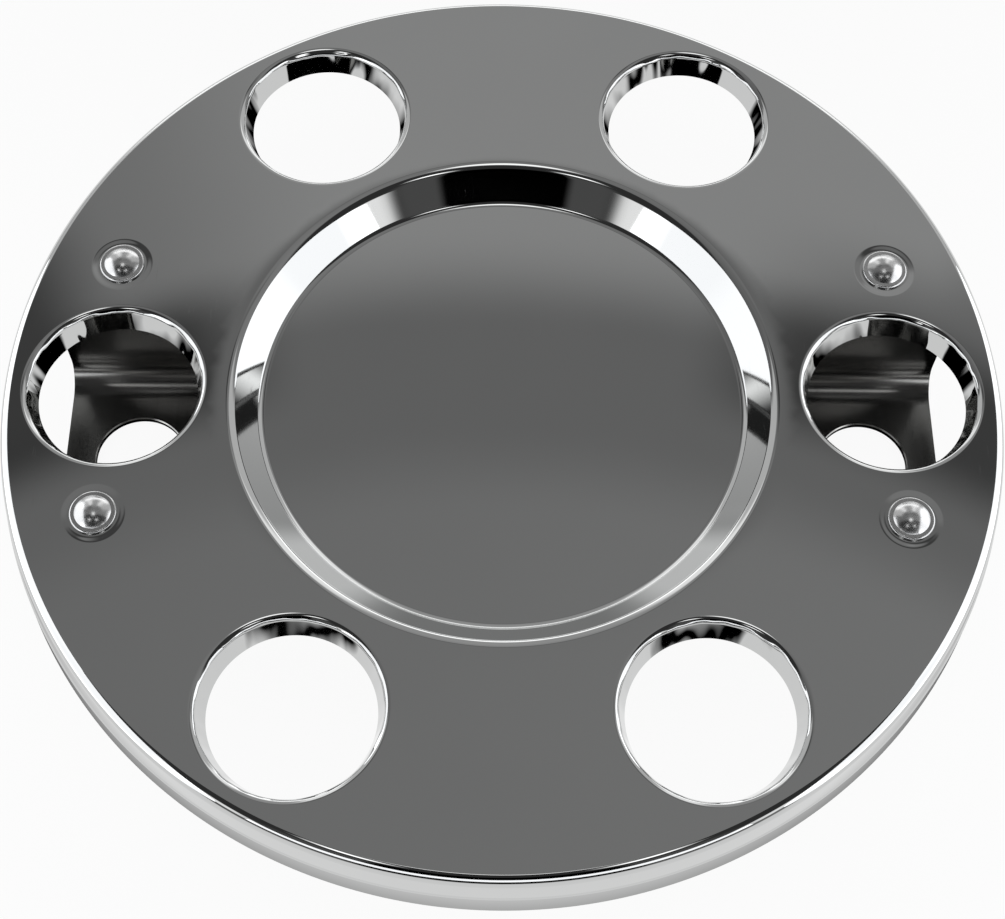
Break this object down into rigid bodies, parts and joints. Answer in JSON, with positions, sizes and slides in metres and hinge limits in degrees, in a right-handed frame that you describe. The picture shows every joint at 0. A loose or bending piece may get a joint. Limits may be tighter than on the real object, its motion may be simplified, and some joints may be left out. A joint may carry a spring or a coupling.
{
  "type": "truck wheel simulator",
  "caption": "Round polished wheel cover with a recessed centre disc, collared nut holes and a creased skirt, carried on bent stud brackets that are riveted behind it.",
  "frame": {"origin": "on the wheel axis, in the plane where the bracket feet seat on the wheel", "axes": "+Z along the wheel axis, out of the wheel towards the face; +X through the right-hand bracket's stud hole; +Y towards the far pair of holes"},
  "size_m": [0.2668, 0.2668, 0.0468],
  "materials": {
    "cover_chrome": "mirror-bright chrome plate on pressed sheet",
    "bracket_steel": "bright rolled stainless strap with fine draw lines",
    "rivet_steel": "polished steel dome"
  },
  "bodies": {
    "root": {"cover": "cover_chrome", "bracket_left": "bracket_steel", "bracket_right": "bracket_steel", "rivet_left_far": "rivet_steel", "rivet_left_near": "rivet_steel", "rivet_right_far": "rivet_steel", "rivet_right_near": "rivet_steel"}
  },
  "joints": []
}
